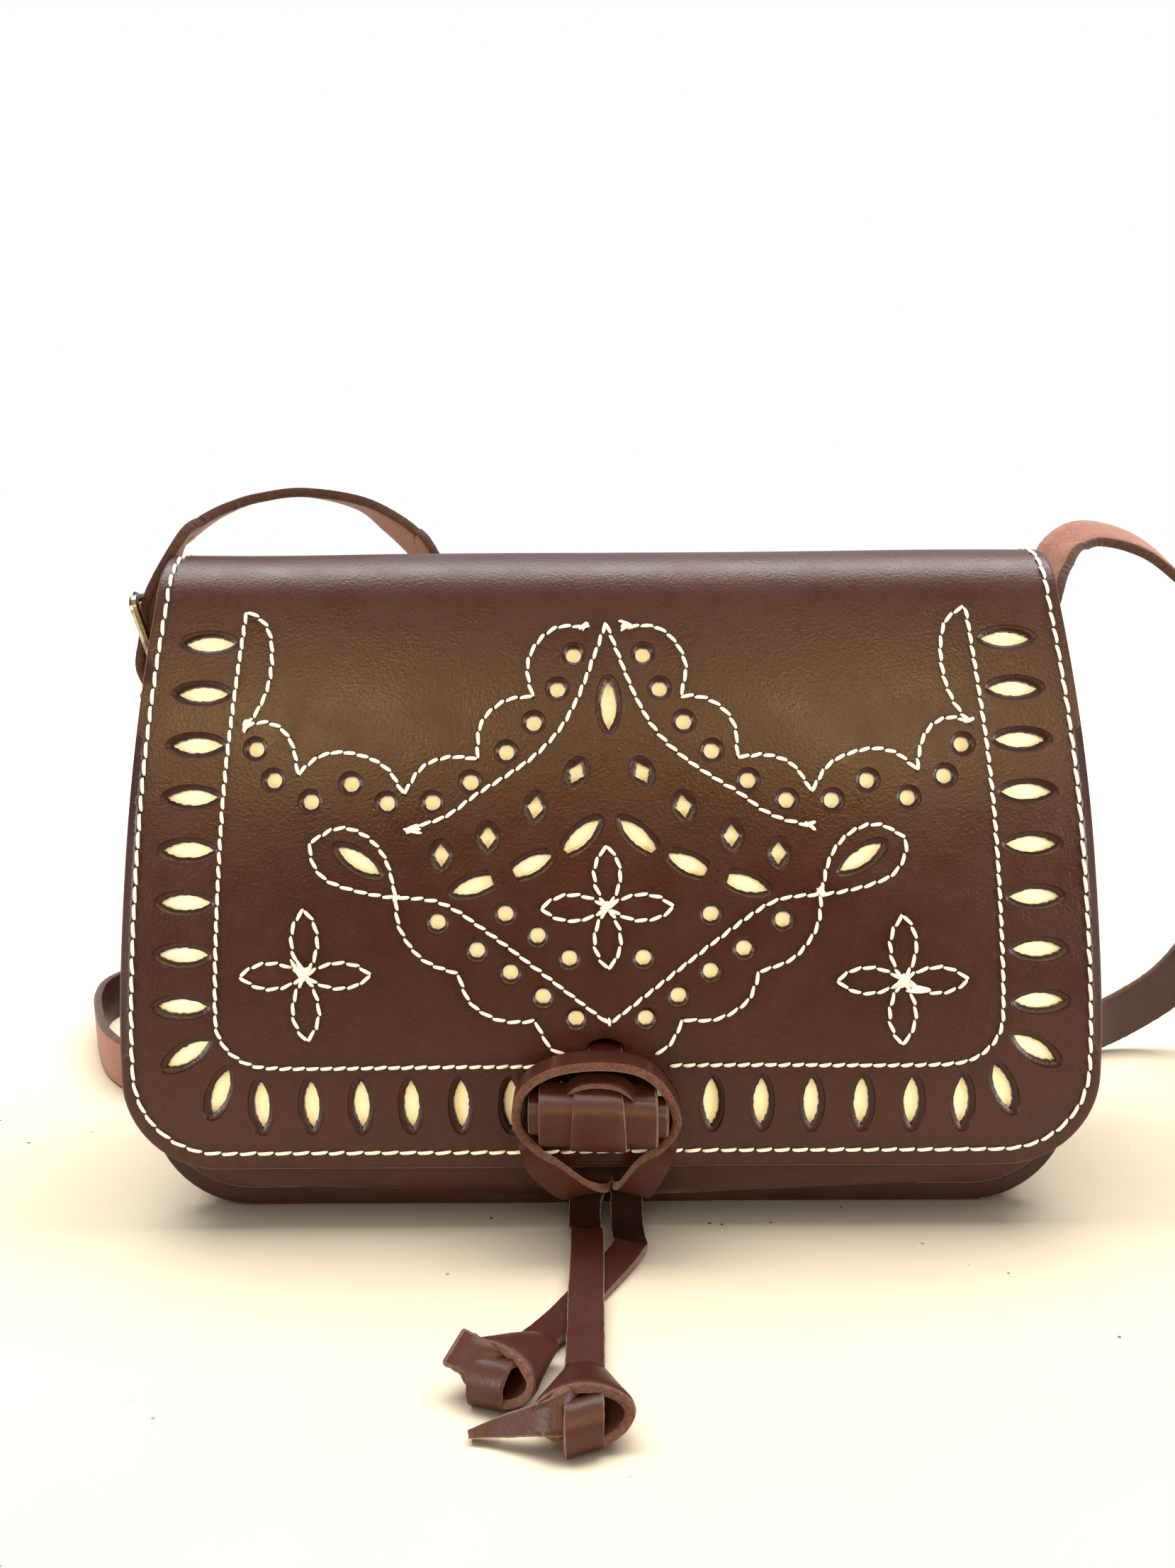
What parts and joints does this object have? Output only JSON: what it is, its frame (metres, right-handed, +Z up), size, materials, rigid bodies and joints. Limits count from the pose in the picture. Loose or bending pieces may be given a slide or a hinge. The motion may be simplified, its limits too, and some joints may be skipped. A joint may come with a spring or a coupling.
{
  "type": "leather shoulder bag",
  "caption": "Small structured leather shoulder bag with a pierced, hand-stitched flap, rolled leather toggle with a thong loop, and a buckled strap.",
  "frame": {"origin": "middle of the flat base, on the surface the bag stands on", "axes": "+X to the right of someone who faces the flap, +Y from the front to the back, +Z up"},
  "size_m": [0.3894, 0.2216, 0.1815],
  "materials": {
    "brown_leather": "dark red-brown, waxed, fine grain",
    "cream_leather": "pale, matt",
    "lining_leather": "rough flesh side",
    "strap_leather": "dark red-brown, rough flesh side",
    "aged_metal": "dulled, olive-gold"
  },
  "bodies": {
    "bag": {"back_panel": "brown_leather", "front_panel": "brown_leather", "front_welt": "brown_leather", "gusset": "brown_leather", "closure_loop": "brown_leather", "tail_left": "brown_leather", "tail_right": "brown_leather", "knot_left": "brown_leather", "knot_right": "brown_leather", "strap": "strap_leather", "buckle_chape": "strap_leather", "keeper": "strap_leather", "chape_rivet": "aged_metal", "strap_rivet_lower": "aged_metal", "strap_rivet_upper": "aged_metal"},
    "flap": {"flap_outer": "brown_leather", "flap_inlay": "cream_leather", "flap_lining": "lining_leather", "toggle": "brown_leather"},
    "buckle": {"buckle_frame": "aged_metal", "buckle_prong": "aged_metal"}
  },
  "joints": [
    {"name": "flap_hinge", "type": "hinge", "parent": "bag", "child": "flap", "pos_m": [0, 0.031, 0.14275], "axis": [-1, 0, 0], "range_deg": [0, 150], "deforming": ["closure_loop", "strap"]},
    {"name": "buckle_swing", "type": "hinge", "parent": "bag", "child": "buckle", "pos_m": [-0.11889, 0.017, 0.13571], "axis": [0, -1, 0], "range_deg": [0, 10], "deforming": ["strap"]}
  ]
}
